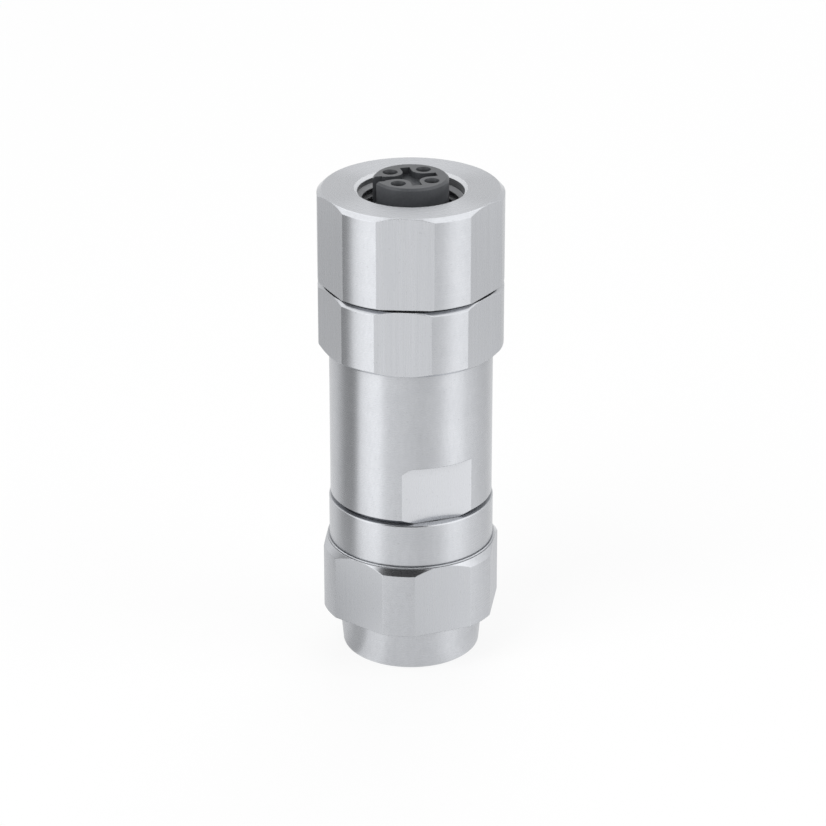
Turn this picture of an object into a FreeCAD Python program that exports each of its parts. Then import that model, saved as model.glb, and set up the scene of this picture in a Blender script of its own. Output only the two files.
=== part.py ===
"""Circular cable connector, socket side, with a screw-lock coupling nut.

The connector stands on its cable end: the axis is +Z, and the origin is the centre
of the ring that the nose of the cap nut rests on. Lengths are millimetres.
"""
import FreeCAD, Part
import math
import os
import re
import Sketcher

SIZES = {
    # Gaps and clearances that the fits share
    "joint_gap": 0.02,
    "running_clearance": 0.05,
    "slip_clearance": 0.1,
    "seal_clearance": 0.15,
    "wall_relief": 0.3,
    # How far each piece is turned about the axis, in degrees
    "nut_azimuth": -3.5,
    "collar_azimuth": -5.1,
    "cap_azimuth": 22.0,
    "sleeve_azimuth": 20.4,
    "insert_azimuth": -31.0,
    # Contacts: their circle sets the radii of everything round them
    "contact_circle_radius": 2.7,
    "contact_hole_radius": 0.6,
    "contact_lead_radius": 0.85,
    "contact_lead_depth": 0.8,
    "contact_mouth_depth": 1.1,
    "contact_seat_height": 3.94,
    "contact_socket_radius": 0.8,
    "contact_bore_radius": 0.5,
    "contact_bore_depth": 6.5,
    "contact_slit_width": 0.25,
    "contact_slit_depth": 4.5,
    "contact_flange_radius": 1.15,
    "contact_flange_height": 1.0,
    "contact_shank_radius": 0.9,
    "wire_clamp_spacing": 0.82,
    "wire_clamp_inset": 1.99,
    "wire_hole_radius": 0.95,
    "wire_hole_depth": 6.5,
    # Contact insert
    "insert_rim_width": 1.55,
    "insert_root_step": 0.4,
    "insert_tail_step": 0.05,
    "insert_foot_step": 0.3,
    "insert_foot_height": 1.0,
    "insert_projection": 1.32,
    "insert_chamfer": 0.25,
    "carrier_height": 3.4,
    "carrier_groove_depth": 0.75,
    "face_seal_height": 0.9,
    "face_seal_width": 0.9,
    "recess_depth": 0.8,
    "recess_rim_width": 1.3,
    "recess_arm_width": 1.1,
    "keyway_depth": 1.15,
    "keyway_rim_width": 1.7,
    "keyway_root_width": 0.9,
    "lock_ring_wall": 1.1,
    "lock_ring_height": 2.8,
    "lock_ring_slot_width": 1.2,
    "lock_ring_slot_depth": 1.0,
    # Terminal block and its screws
    "block_step": 0.4,
    "block_length": 13.9,
    "block_recess_depth": 0.95,
    "block_web": 1.96,
    "screw_level": 3.0,
    "screw_core_radius": 0.7,
    "screw_head_radius": 0.95,
    "screw_head_length": 1.2,
    "screw_inset": 0.15,
    "screw_tip_offset": 0.45,
    "screw_slot_width": 0.3,
    "screw_slot_depth": 0.5,
    # Collar with its front spigot and threaded tail
    "collar_hex_height": 7.7,
    "collar_top_chamfer_width": 0.5,
    "collar_top_chamfer_height": 0.42,
    "collar_base_chamfer": 0.4,
    "collar_tail_wall": 1.05,
    "collar_tail_length": 5.5,
    "spigot_wall": 1.55,
    "spigot_end_length": 1.45,
    "spigot_chamfer": 0.3,
    "spigot_lip_height": 1.6,
    "insert_bore_length": 7.0,
    # Split ring that keeps the coupling nut on the spigot
    "ring_wire_radius": 0.45,
    "nut_play": 0.13,
    "ring_opening_angle": 24.0,
    # Coupling nut, whose hexagon the collar shares
    "nut_gap": 0.27,
    "nut_wall": 1.7,
    "hex_corner_height": 0.5,
    "nut_top_chamfer_width": 0.53,
    "nut_top_chamfer_height": 0.45,
    "nut_base_chamfer": 0.1,
    "nut_bore_length": 2.0,
    "nut_shoulder_width": 0.7,
    "nut_chamber_room": 0.47,
    "nut_thread_length": 6.2,
    "plug_shell_room": 1.75,
    "nut_mouth_chamfer": 0.35,
    # O-rings and the grooves that hold them
    "o_ring_section_radius": 0.4,
    "o_ring_groove_height": 1.0,
    "o_ring_groove_inset": 0.2,
    "o_ring_groove_depth": 0.4,
    # Screw thread between sleeve and collar, and between sleeve and cap nut
    "screw_depth": 0.55,
    "screw_lead_in": 0.4,
    "screw_runout": 0.32,
    # Sleeve
    "sleeve_wall": 1.3,
    "sleeve_length": 18.55,
    "sleeve_chamfer": 0.58,
    "sleeve_top_chamfer": 0.12,
    "sleeve_tail_wall": 0.85,
    "sleeve_tail_length": 8.7,
    "sleeve_lip_width": 1.6,
    "sleeve_lip_height": 0.8,
    "sleeve_lip_drop": 0.2,
    "sleeve_flat_depth": 1.0,
    "sleeve_flat_height": 7.0,
    "sleeve_flat_half_width": 4.5,
    "sleeve_flat_corner": 1.8,
    # Cable entry and the parts that grip and seal the cable
    "cable_bore_radius": 4.6,
    "cable_bore_chamfer": 0.5,
    "squeeze_cone_level": 4.0,
    "clamp_ring_step": 0.3,
    "clamp_skirt_step": 0.25,
    "clamp_skirt_drop": 1.02,
    "clamp_slot_width": 0.7,
    "clamp_slot_height": 4.8,
    "clamp_slots": 8,
    "washer_thickness": 0.45,
    "seal_height": 5.9,
    "seal_grip": 1.0,
    "seal_rib_depth": 0.35,
    "seal_rib_height": 0.9,
    # Cap nut: nose, hexagon and round collar
    "nose_height": 5.4,
    "nose_wall": 1.4,
    "nose_taper": 0.47,
    "nose_rounding": 0.5,
    "cap_wall": 1.45,
    "cap_hex_height": 8.3,
    "cap_hex_step": 0.25,
    "cap_corner_height": 0.6,
    "cap_cone_height": 0.7,
    "cap_line_height": 0.1,
    "cap_line_depth": 0.1,
    "cap_collar_height": 5.0,
    "cap_collar_chamfer": 0.12,
    "cap_thread_runout": 0.92,
}

# Radii and heights that follow from the sizes; heights start at the rest ring
FOLLOWING = {
    # Radii, from the contacts outwards
    "wire_clamp_radius": "contact_circle_radius / sqrt(2) - wire_clamp_spacing / 2",
    "contact_chamber": "contact_socket_radius + running_clearance",
    "flange_chamber": "contact_flange_radius + running_clearance",
    "shank_hole": "contact_shank_radius + slip_clearance",
    "insert_radius": "contact_circle_radius + insert_rim_width",
    "insert_root_radius": "insert_radius + insert_root_step",
    "insert_tail_radius": "insert_root_radius + insert_tail_step",
    "insert_foot_radius": "insert_root_radius + insert_foot_step",
    "recess_arm_length": "insert_radius - recess_rim_width",
    "keyway_floor_radius": "insert_radius - keyway_depth",
    "spigot_opening": "insert_root_radius + seal_clearance",
    "face_seal_radius": "spigot_opening + face_seal_width",
    "insert_bore_radius": "insert_tail_radius + lock_ring_wall + 2 * slip_clearance",
    "carrier_radius": "insert_bore_radius - slip_clearance",
    "carrier_groove_radius": "carrier_radius - carrier_groove_depth",
    "collar_bore_radius": "insert_bore_radius + block_step",
    "block_radius": "collar_bore_radius - slip_clearance",
    "screw_head_start": "block_radius - screw_inset - screw_head_length",
    "spigot_radius": "insert_bore_radius + spigot_wall",
    "nut_bore_radius": "spigot_radius + running_clearance",
    "nut_chamber_radius": "nut_bore_radius + nut_shoulder_width",
    "plug_thread_radius": "insert_radius + plug_shell_room",
    "nut_mouth_radius": "plug_thread_radius + nut_mouth_chamfer",
    "hex_half_width": "nut_chamber_radius + nut_wall",
    "hex_corner_radius": "hex_half_width + hex_corner_height",
    "tail_radius": "collar_bore_radius + collar_tail_wall",
    "tail_groove_radius": "tail_radius - o_ring_groove_depth",
    "screw_radius": "tail_radius + screw_depth",
    "sleeve_radius": "screw_radius + sleeve_wall",
    "sleeve_flat_level": "sleeve_radius - sleeve_flat_depth",
    "sleeve_bore_radius": "tail_radius - sleeve_tail_wall",
    "sleeve_lip_radius": "sleeve_bore_radius - sleeve_lip_width",
    "sealed_radius": "sleeve_bore_radius - seal_clearance",
    "clamp_skirt_radius": "sleeve_bore_radius + clamp_skirt_step",
    "squeeze_cone_radius": "clamp_skirt_radius + seal_clearance",
    "clamp_inner_radius": "cable_bore_radius - clamp_ring_step",
    "seal_inner_radius": "cable_bore_radius - seal_grip",
    "nose_top_radius": "squeeze_cone_radius + nose_wall",
    "nose_end_radius": "nose_top_radius - nose_taper",
    "cap_collar_radius": "screw_radius + cap_wall",
    "cap_half_width": "cap_collar_radius + cap_hex_step",
    "cap_corner_radius": "cap_half_width + cap_corner_height",
    # Heights of the cap nut and the sleeve
    "cap_hex_top": "nose_height + cap_hex_height",
    "cap_top": "cap_hex_top + 3 * cap_line_height + cap_collar_height",
    "sleeve_base": "cap_top + joint_gap",
    "sleeve_tail_base": "sleeve_base - sleeve_tail_length",
    "cap_thread_floor": "sleeve_tail_base - cap_thread_runout",
    "sleeve_lip_base": "sleeve_base - sleeve_lip_drop - sleeve_lip_height",
    "sleeve_top": "sleeve_base + sleeve_length",
    # Heights of what grips and seals the cable, under the sleeve's lip
    "seal_top": "sleeve_lip_base - joint_gap",
    "seal_base": "seal_top - seal_height",
    "washer_top": "seal_base - joint_gap",
    "washer_base": "washer_top - washer_thickness",
    "clamp_top": "washer_base - joint_gap",
    "clamp_base": "squeeze_cone_level + 2 * seal_clearance",
    "clamp_skirt_top": "sleeve_tail_base - clamp_skirt_drop",
    # Heights of the collar and the coupling nut
    "collar_base": "sleeve_top + joint_gap",
    "collar_tail_base": "collar_base - collar_tail_length",
    "socket_floor": "collar_tail_base - screw_runout",
    "collar_hex_top": "collar_base + collar_hex_height",
    "nut_base": "collar_hex_top + nut_gap",
    "nut_shoulder": "nut_base + nut_bore_length",
    "ring_level": "nut_shoulder + nut_play + ring_wire_radius",
    "spigot_top": "ring_level + spigot_end_length",
    "nut_chamber_top": "spigot_top + nut_chamber_room",
    "nut_top": "nut_chamber_top + nut_thread_length",
    "face_seal_base": "spigot_top + joint_gap",
    "face_seal_top": "face_seal_base + face_seal_height",
    # Heights of the insert, the contacts and the terminal block
    "insert_stop": "spigot_top - spigot_lip_height",
    "insert_top": "nut_top + insert_projection",
    "carrier_top": "insert_stop - joint_gap",
    "carrier_base": "carrier_top - carrier_height",
    "carrier_groove_level": "carrier_base + carrier_height / 2",
    "insert_foot_top": "carrier_base + insert_foot_height",
    "lock_ring_top": "carrier_base - joint_gap",
    "lock_ring_base": "lock_ring_top - lock_ring_height",
    "block_stop": "insert_stop - insert_bore_length",
    "block_top": "block_stop - slip_clearance",
    "block_recess_floor": "block_top - block_recess_depth",
    "block_base": "block_top - block_length",
    "insert_base": "block_recess_floor + slip_clearance",
    "contact_top": "insert_top - contact_mouth_depth",
    "contact_stop": "insert_base + contact_seat_height",
    "contact_base": "block_base + wire_clamp_inset",
    "wire_clamp_top": "block_recess_floor - block_web",
    "clamp_chamber_top": "wire_clamp_top + slip_clearance",
    "screw_height": "contact_base + screw_level",
}

CONTACT_COUNT = 4
RECESS_TURN = f"{180 // CONTACT_COUNT}"
SEAL_RIBS = 3

document = FreeCAD.newDocument("circular_connector")
sheet = document.addObject("Spreadsheet::Sheet", "Sizes")
for row, (alias, value) in enumerate(SIZES.items(), start=1):
    sheet.set(f"A{row}", str(value))
    sheet.setAlias(f"A{row}", alias)
document.recompute()


def bound(formula):
    """The formula written in cells of the sheet, with what follows from them written out."""
    def cell(word):
        name = word.group()
        if name in FOLLOWING:
            return f"({bound(FOLLOWING[name])})"
        return f"Sizes.{name}" if name in SIZES else name
    return re.sub(r"[a-z_]+", cell, str(formula))


def new_body(label, azimuth=None):
    """A body that can be turned about the connector's axis by a size in degrees."""
    body = document.addObject("PartDesign::Body", label)
    body.Label = label
    if azimuth:
        body.setExpression("Placement.Rotation.Angle", bound(f"({azimuth}) * 1 deg"))
    return body


def new_sketch(body, name, plane, level=None, turn=None):
    """A sketch on one of the body's own planes, raised and turned by sizes."""
    sketch = body.newObject("Sketcher::SketchObject", name)
    support = [part for part in body.Origin.OriginFeatures if part.Role == plane][0]
    sketch.AttachmentSupport = [(support, "")]
    sketch.MapMode = "FlatFace"
    if level:
        sketch.setExpression("AttachmentOffset.Base.z", bound(level))
    if turn:
        sketch.setExpression("AttachmentOffset.Rotation.Angle", bound(f"({turn}) * 1 deg"))
    return sketch


def fix_point(sketch, geometry, vertex, across, up):
    """Tie one point of a sketch to two formulas, measured from the origin."""
    for kind, formula in (("DistanceX", across), ("DistanceY", up)):
        value = float(sketch.evalExpression(bound(formula)))
        index = sketch.addConstraint(Sketcher.Constraint(kind, -1, 1, geometry, vertex, value))
        sketch.setExpression(f"Constraints[{index}]", bound(formula))


def read_point(sketch, across, up):
    """The place that two formulas give in a sketch."""
    x = float(sketch.evalExpression(bound(across)))
    y = float(sketch.evalExpression(bound(up)))
    return FreeCAD.Vector(x, y, 0)


def bend(start, end, radius, turn):
    """Arc between two points that turns left or right on its way."""
    side = 1 if turn == "left" else -1
    chord = end - start
    away = FreeCAD.Vector(-chord.y, chord.x, 0).normalize() * side
    rise = math.sqrt(max(radius ** 2 - chord.Length ** 2 / 4, 0))
    centre = (start + end) / 2 + away * rise
    return Part.Arc(start, centre - away * radius, end)


def draw_outline(sketch, corners):
    """A closed outline through corners given as formulas.

    A corner with a radius and a turn starts an arc, and any other a straight line.
    """
    points = [read_point(sketch, *corner[:2]) for corner in corners]
    first = sketch.GeometryCount
    count = len(points)
    arcs = []
    ends = []
    for i, corner in enumerate(corners):
        start, end = points[i], points[(i + 1) % count]
        if len(corner) == 4:
            radius = float(sketch.evalExpression(bound(corner[2])))
            sketch.addGeometry(bend(start, end, radius, corner[3]), False)
            arcs.append((first + i, radius, corner[2]))
            ends.append((1, 2) if corner[3] == "left" else (2, 1))
        else:
            sketch.addGeometry(Part.LineSegment(start, end), False)
            ends.append((1, 2))
    for i in range(count):
        following = (i + 1) % count
        sketch.addConstraint(Sketcher.Constraint(
            "Coincident", first + i, ends[i][1], first + following, ends[following][0]))
        fix_point(sketch, first + i, ends[i][0], *corners[i][:2])
    for geometry, radius, formula in arcs:
        index = sketch.addConstraint(Sketcher.Constraint("Radius", geometry, radius))
        sketch.setExpression(f"Constraints[{index}]", bound(formula))


def draw_circle(sketch, radius, across="0", up="0"):
    """A circle whose radius and centre are formulas."""
    centre = read_point(sketch, across, up)
    size = float(sketch.evalExpression(bound(radius)))
    index = sketch.addGeometry(Part.Circle(centre, FreeCAD.Vector(0, 0, 1), size), False)
    fix_point(sketch, index, 3, across, up)
    constraint = sketch.addConstraint(Sketcher.Constraint("Radius", index, size))
    sketch.setExpression(f"Constraints[{constraint}]", bound(radius))


def add_turned(body, name, corners, angle=None):
    """A solid of revolution about the body's axis."""
    sketch = new_sketch(body, f"{name}_outline", "XZ_Plane")
    draw_outline(sketch, corners)
    feature = body.newObject("PartDesign::Revolution", name)
    feature.Profile = sketch
    feature.ReferenceAxis = (sketch, ["V_Axis"])
    feature.Angle = 360
    if angle:
        feature.setExpression("Angle", bound(angle))
    return feature


def add_pocket(body, sketch, depth, outward):
    """Cut along the sketch's normal if outward, and against it if not."""
    feature = body.newObject("PartDesign::Pocket", f"{sketch.Label}_cut")
    feature.Profile = sketch
    feature.Reversed = outward
    feature.setExpression("Length", bound(depth))
    return feature


def add_round_hole(body, name, radius, across, level, depth, outward):
    """Cut a round hole parallel to the body's axis."""
    sketch = new_sketch(body, name, "XY_Plane", level)
    draw_circle(sketch, radius, across)
    return add_pocket(body, sketch, depth, outward)


def add_pattern(body, features, count, angle=360):
    """Repeat features round the body's axis."""
    axis = [part for part in body.Origin.OriginFeatures if part.Role == "Z_Axis"][0]
    pattern = body.newObject("PartDesign::PolarPattern", f"{features[0].Label}_pattern")
    pattern.Originals = features
    pattern.Axis = (axis, [""])
    pattern.Angle = angle
    if isinstance(count, str):
        pattern.setExpression("Occurrences", bound(count))
    else:
        pattern.Occurrences = count
    body.Tip = pattern
    return pattern


def add_hexagon(body, name, level, height, half_width):
    """Mill a turned piece to a hexagon with one flat facing the front."""
    sketch = new_sketch(body, name, "XY_Plane", level)
    draw_circle(sketch, f"2 * {half_width}")
    corner = f"2 * {half_width} / sqrt(3)"
    angles = [60 * step for step in range(6)]
    draw_outline(sketch, [
        (f"{corner} * cos({angle} deg)", f"{corner} * sin({angle} deg)") for angle in angles])
    return add_pocket(body, sketch, height, outward=True)


def make_cap_nut():
    """Cap nut in one piece: tapered nose, hexagon, and round collar over the thread."""
    body = new_body("gland_nut", "cap_azimuth")
    cone_start = "cap_hex_top - cap_cone_height"
    cone_end = "squeeze_cone_level + squeeze_cone_radius - cable_bore_radius"
    cut = "cap_half_width - cap_line_depth"
    add_turned(body, "cap_turning", [
        ("cable_bore_radius + cable_bore_chamfer", "0"),
        ("nose_end_radius - nose_rounding", "0", "nose_rounding", "left"),
        ("nose_end_radius", "nose_rounding"),
        ("nose_top_radius", "nose_height"),
        ("cap_corner_radius", "nose_height"),
        ("cap_corner_radius", cone_start),
        ("cap_half_width", "cap_hex_top"),
        (cut, "cap_hex_top"),
        (cut, "cap_hex_top + cap_line_height"),
        ("cap_half_width", "cap_hex_top + cap_line_height"),
        ("cap_half_width", "cap_hex_top + 1.5 * cap_line_height"),
        (cut, "cap_hex_top + 2 * cap_line_height"),
        ("cap_collar_radius - cap_line_depth", "cap_hex_top + 2 * cap_line_height"),
        ("cap_collar_radius - cap_line_depth", "cap_hex_top + 3 * cap_line_height"),
        ("cap_collar_radius", "cap_hex_top + 3 * cap_line_height"),
        ("cap_collar_radius", "cap_top - cap_collar_chamfer"),
        ("cap_collar_radius - cap_collar_chamfer", "cap_top"),
        ("screw_radius + screw_lead_in", "cap_top"),
        ("screw_radius", "cap_top - screw_lead_in"),
        ("screw_radius", "cap_thread_floor"),
        ("squeeze_cone_radius", "cap_thread_floor"),
        ("squeeze_cone_radius", cone_end),
        ("cable_bore_radius", "squeeze_cone_level"),
        ("cable_bore_radius", "cable_bore_chamfer"),
    ])
    add_hexagon(body, "cap_flats", "nose_height", "cap_hex_height", "cap_half_width")
    return body


def make_clamping_ring():
    """Slotted plastic ring whose fingers the cap nut's cone presses onto the cable."""
    body = new_body("clamping_ring")
    toe = "(cable_bore_radius + seal_clearance)"
    add_turned(body, "ring_turning", [
        ("clamp_inner_radius", "clamp_base"),
        (toe, "clamp_base"),
        ("clamp_skirt_radius", f"clamp_base + clamp_skirt_radius - {toe}"),
        ("clamp_skirt_radius", "clamp_skirt_top"),
        ("sealed_radius", "clamp_skirt_top"),
        ("sealed_radius", "clamp_top"),
        ("clamp_inner_radius", "clamp_top"),
    ])
    sketch = new_sketch(body, "finger_slot", "XY_Plane", "clamp_base")
    draw_outline(sketch, [
        ("0", "-clamp_slot_width / 2"),
        ("clamp_skirt_radius + wall_relief", "-clamp_slot_width / 2"),
        ("clamp_skirt_radius + wall_relief", "clamp_slot_width / 2"),
        ("0", "clamp_slot_width / 2"),
    ])
    slot = add_pocket(body, sketch, "clamp_slot_height", outward=True)
    add_pattern(body, [slot], "clamp_slots")
    return body


def make_thrust_washer():
    """Washer that keeps the turning cap nut from dragging the seal round."""
    body = new_body("thrust_washer")
    add_turned(body, "washer_turning", [
        ("clamp_inner_radius", "washer_base"),
        ("sealed_radius", "washer_base"),
        ("sealed_radius", "washer_top"),
        ("clamp_inner_radius", "washer_top"),
    ])
    return body


def make_cable_seal():
    """Ribbed rubber bush that closes on the cable under the sleeve's inner lip."""
    body = new_body("cable_seal")
    valley = "sealed_radius - seal_rib_depth"
    corners = [("seal_inner_radius", "seal_base")]
    for rib in range(SEAL_RIBS):
        middle = f"seal_base + seal_height * {2 * rib + 1} / {2 * SEAL_RIBS}"
        corners += [
            (valley, f"{middle} - seal_rib_height / 2 - seal_rib_depth"),
            ("sealed_radius", f"{middle} - seal_rib_height / 2"),
            ("sealed_radius", f"{middle} + seal_rib_height / 2"),
            (valley, f"{middle} + seal_rib_height / 2 + seal_rib_depth"),
        ]
    corners[1] = (valley, "seal_base")
    corners[-1] = (valley, "seal_top")
    corners.append(("seal_inner_radius", "seal_top"))
    add_turned(body, "seal_turning", corners)
    return body


def make_sleeve():
    """Sleeve with a threaded socket on top, a threaded tail below and two spanner flats."""
    body = new_body("body_sleeve", "sleeve_azimuth")
    groove_top = "sleeve_base - o_ring_groove_inset"
    groove_base = f"{groove_top} - o_ring_groove_height"
    add_turned(body, "sleeve_turning", [
        ("sleeve_bore_radius", "sleeve_tail_base"),
        ("tail_radius - screw_lead_in", "sleeve_tail_base"),
        ("tail_radius", "sleeve_tail_base + screw_lead_in"),
        ("tail_radius", groove_base),
        ("tail_groove_radius", groove_base),
        ("tail_groove_radius", groove_top),
        ("tail_radius", groove_top),
        ("tail_radius", "sleeve_base"),
        ("sleeve_radius - sleeve_chamfer", "sleeve_base"),
        ("sleeve_radius", "sleeve_base + sleeve_chamfer"),
        ("sleeve_radius", "sleeve_top - sleeve_top_chamfer"),
        ("sleeve_radius - sleeve_top_chamfer", "sleeve_top"),
        ("screw_radius + screw_lead_in", "sleeve_top"),
        ("screw_radius", "sleeve_top - screw_lead_in"),
        ("screw_radius", "socket_floor"),
        ("sleeve_bore_radius", "socket_floor"),
        ("sleeve_bore_radius", "sleeve_lip_base + sleeve_lip_height"),
        ("sleeve_lip_radius", "sleeve_lip_base + sleeve_lip_height"),
        ("sleeve_lip_radius", "sleeve_lip_base"),
        ("sleeve_bore_radius", "sleeve_lip_base"),
    ])
    sketch = new_sketch(body, "spanner_flat", "XZ_Plane", "sleeve_flat_level")
    top = "sleeve_base + sleeve_flat_height"
    half = "sleeve_flat_half_width"
    corner = "sleeve_flat_corner"
    draw_outline(sketch, [
        (f"-{half}", "sleeve_base"),
        (half, "sleeve_base"),
        (half, top),
        (f"-{half} + {corner}", top, corner, "left"),
        (f"-{half}", f"{top} - {corner}"),
    ])
    flat = add_pocket(body, sketch, "sleeve_flat_depth + wall_relief", outward=True)
    add_pattern(body, [flat], 2)
    return body


def make_collar():
    """Hexagonal collar: spigot for nut and insert in front, threaded tail behind."""
    body = new_body("front_collar", "collar_azimuth")
    groove_top = "collar_base - o_ring_groove_inset"
    groove_base = f"{groove_top} - o_ring_groove_height"
    ring_groove_radius = "spigot_radius - ring_wire_radius - slip_clearance"
    ring_half = "(ring_wire_radius + slip_clearance)"
    add_turned(body, "collar_turning", [
        ("collar_bore_radius", "collar_tail_base"),
        ("tail_radius - screw_lead_in", "collar_tail_base"),
        ("tail_radius", "collar_tail_base + screw_lead_in"),
        ("tail_radius", groove_base),
        ("tail_groove_radius", groove_base),
        ("tail_groove_radius", groove_top),
        ("tail_radius", groove_top),
        ("tail_radius", "collar_base"),
        ("hex_half_width", "collar_base"),
        ("hex_corner_radius", "collar_base + collar_base_chamfer"),
        ("hex_corner_radius", "collar_hex_top - collar_top_chamfer_height"),
        ("hex_corner_radius - collar_top_chamfer_width", "collar_hex_top"),
        ("spigot_radius", "collar_hex_top"),
        ("spigot_radius", f"ring_level - {ring_half}"),
        (ring_groove_radius, f"ring_level - {ring_half}"),
        (ring_groove_radius, f"ring_level + {ring_half}"),
        ("spigot_radius", f"ring_level + {ring_half}"),
        ("spigot_radius", "spigot_top - spigot_chamfer"),
        ("spigot_radius - spigot_chamfer", "spigot_top"),
        ("spigot_opening", "spigot_top"),
        ("spigot_opening", "insert_stop"),
        ("insert_bore_radius", "insert_stop"),
        ("insert_bore_radius", "block_stop"),
        ("collar_bore_radius", "block_stop"),
    ])
    add_hexagon(body, "collar_flats", "collar_base", "collar_hex_height", "hex_half_width")
    return body


def make_retaining_ring():
    """Split wire ring in the spigot's groove, under which the nut's shoulder turns."""
    body = new_body("nut_retaining_ring", "ring_opening_angle / 2")
    sketch = new_sketch(body, "wire_section", "XZ_Plane")
    draw_circle(sketch, "ring_wire_radius", "spigot_radius", "ring_level")
    wire = body.newObject("PartDesign::Revolution", "wire_ring")
    wire.Profile = sketch
    wire.ReferenceAxis = (sketch, ["V_Axis"])
    wire.setExpression("Angle", bound("360 - ring_opening_angle"))
    return body


def make_coupling_nut():
    """Loose hexagon nut: running bore on the spigot, ring chamber, and plug thread."""
    body = new_body("coupling_nut", "nut_azimuth")
    corner = "hex_corner_radius"
    add_turned(body, "nut_turning", [
        ("nut_bore_radius", "nut_base"),
        (f"{corner} - nut_base_chamfer", "nut_base"),
        (corner, "nut_base + nut_base_chamfer"),
        (corner, "nut_top - nut_top_chamfer_height"),
        (f"{corner} - nut_top_chamfer_width", "nut_top"),
        ("nut_mouth_radius", "nut_top"),
        ("plug_thread_radius", "nut_top - nut_mouth_chamfer"),
        ("plug_thread_radius", "nut_chamber_top"),
        ("nut_chamber_radius", "nut_chamber_top"),
        ("nut_chamber_radius", "nut_shoulder"),
        ("nut_bore_radius", "nut_shoulder"),
    ])
    add_hexagon(body, "nut_flats", "nut_base", "nut_top - nut_base", "hex_half_width")
    return body


def make_insert():
    """Moulded socket insert: four stepped contact holes, crossed recess and keyway."""
    body = new_body("contact_insert", "insert_azimuth")
    neck = "face_seal_top + slip_clearance"
    add_turned(body, "insert_turning", [
        ("0", "insert_base"),
        ("insert_tail_radius", "insert_base"),
        ("insert_tail_radius", "carrier_base"),
        ("insert_foot_radius", "carrier_base"),
        ("insert_foot_radius", "insert_foot_top"),
        ("insert_root_radius", "insert_foot_top"),
        ("insert_root_radius", neck),
        ("insert_radius", neck),
        ("insert_radius", "insert_top - insert_chamfer"),
        ("insert_radius - insert_chamfer", "insert_top"),
        ("0", "insert_top"),
    ])
    keyway = new_sketch(body, "keyway", "XY_Plane", "insert_top", RECESS_TURN)
    draw_outline(keyway, [
        ("-keyway_floor_radius", "-keyway_rim_width / 2"),
        ("-keyway_floor_radius", "keyway_rim_width / 2"),
        ("-insert_root_radius - wall_relief", "keyway_rim_width / 2"),
        ("-insert_root_radius - wall_relief", "-keyway_rim_width / 2"),
    ])
    add_pocket(body, keyway, "insert_top - carrier_top", outward=False)
    recess = new_sketch(body, "crossed_recess", "XY_Plane", "insert_top", RECESS_TURN)
    draw_crossed_recess(recess)
    add_pocket(body, recess, "recess_depth", outward=False)
    hole = new_sketch(body, "contact_hole", "XZ_Plane")
    centre = "contact_circle_radius"
    draw_outline(hole, [
        (centre, "insert_base"),
        (f"{centre} + flange_chamber", "insert_base"),
        (f"{centre} + flange_chamber", "contact_stop"),
        (f"{centre} + contact_chamber", "contact_stop"),
        (f"{centre} + contact_chamber", "contact_top + joint_gap"),
        (f"{centre} + contact_hole_radius", "contact_top + joint_gap"),
        (f"{centre} + contact_hole_radius", "insert_top - contact_lead_depth"),
        (f"{centre} + contact_lead_radius", "insert_top"),
        (centre, "insert_top"),
    ])
    drill = body.newObject("PartDesign::Groove", "contact_drilling")
    drill.Profile = hole
    drill.ReferenceAxis = (hole, ["Edge9"])
    drill.Angle = 360
    add_pattern(body, [drill], CONTACT_COUNT)
    return body


def draw_crossed_recess(sketch):
    """Cross between the four hole bosses: one arm widens out through the rim."""
    half = "recess_arm_width / 2"
    boss = "contact_circle_radius / sqrt(2)"
    reach = "recess_arm_length"
    rim = "(insert_radius + wall_relief)"
    root = "keyway_root_width / 2"
    mouth = "keyway_rim_width / 2"
    bend_radius = f"{boss} - {half}"
    draw_outline(sketch, [
        (boss, f"-{half}"),
        (reach, f"-{half}"),
        (reach, half),
        (boss, half, bend_radius, "right"),
        (half, boss),
        (half, reach),
        (f"-{half}", reach),
        (f"-{half}", boss, bend_radius, "right"),
        (f"-{boss}", root),
        (f"-{rim}", mouth),
        (f"-{rim}", f"-{mouth}"),
        (f"-{boss}", f"-{root}", bend_radius, "right"),
        (f"-{half}", f"-{boss}"),
        (f"-{half}", f"-{reach}"),
        (half, f"-{reach}"),
        (half, f"-{boss}", bend_radius, "right"),
    ])


def make_carrier():
    """Turned ring that holds the insert by its foot and seals it in the collar's bore."""
    body = new_body("insert_carrier")
    groove_base = "carrier_groove_level - o_ring_groove_height / 2"
    groove_top = "carrier_groove_level + o_ring_groove_height / 2"
    add_turned(body, "carrier_turning", [
        ("insert_foot_radius + joint_gap", "carrier_base"),
        ("carrier_radius", "carrier_base"),
        ("carrier_radius", groove_base),
        ("carrier_groove_radius", groove_base),
        ("carrier_groove_radius", groove_top),
        ("carrier_radius", groove_top),
        ("carrier_radius", "carrier_top"),
        ("insert_root_radius + joint_gap", "carrier_top"),
        ("insert_root_radius + joint_gap", "insert_foot_top + joint_gap"),
        ("insert_foot_radius + joint_gap", "insert_foot_top + joint_gap"),
    ])
    return body


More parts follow.
